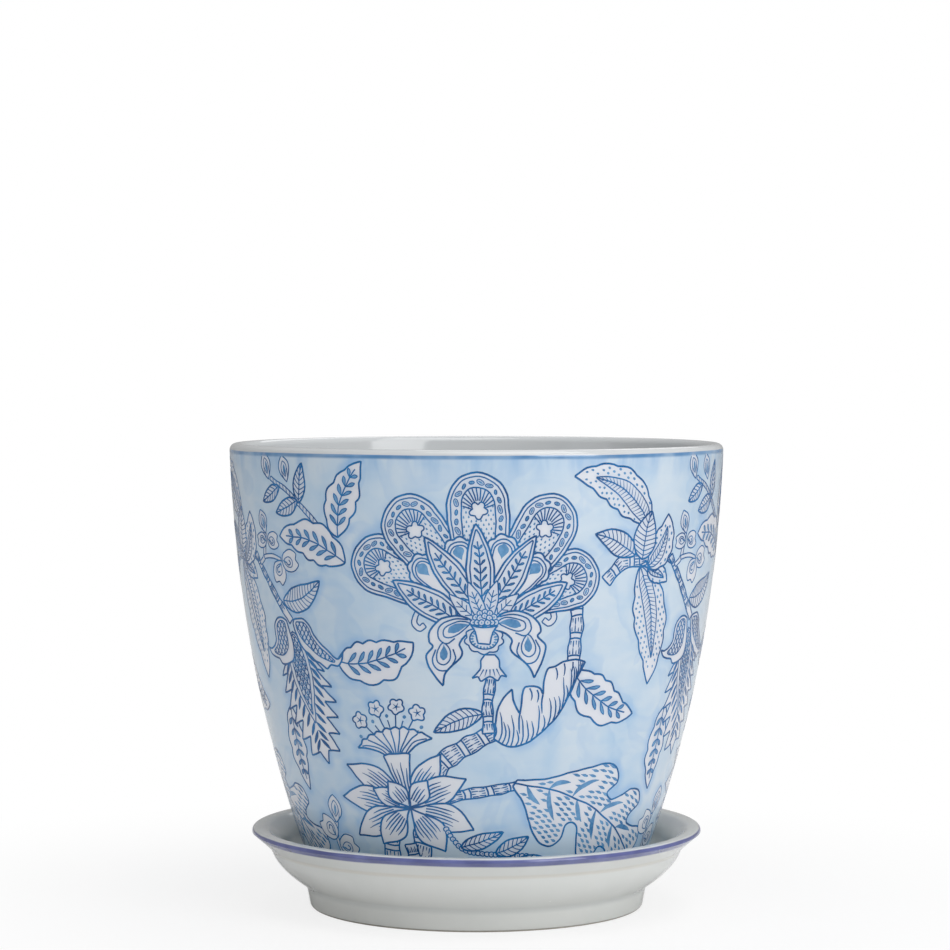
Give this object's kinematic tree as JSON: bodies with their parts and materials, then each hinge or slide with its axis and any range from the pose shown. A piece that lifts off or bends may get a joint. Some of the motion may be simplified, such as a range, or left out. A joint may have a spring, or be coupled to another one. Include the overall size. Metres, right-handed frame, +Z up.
{
  "type": "plant pot with saucer",
  "caption": "Tapered round glazed ceramic plant pot with a rolled lip and a drainage hole, standing loose in a flared, footed saucer that catches the water.",
  "frame": {"origin": "middle of the saucer's foot ring, on the surface that it stands on", "axes": "+Z up along the axis of both turned pieces; the side seen in the picture faces -Y"},
  "size_m": [0.208, 0.208, 0.1951],
  "materials": {
    "pot_glaze": "clear gloss glaze over a watery pale blue wash with white figures outlined in blue; white lip and inside; bare foot ring",
    "saucer_glaze": "clear gloss glaze over white, with a violet blue band round the outside of the rim; bare foot ring"
  },
  "bodies": {
    "saucer": {"saucer": "saucer_glaze"},
    "pot": {"pot": "pot_glaze"}
  },
  "joints": [
    {"name": "pot_lift", "type": "slide", "parent": "saucer", "child": "pot", "axis": [0, 0, 1], "range_m": [0, 0.05]}
  ]
}
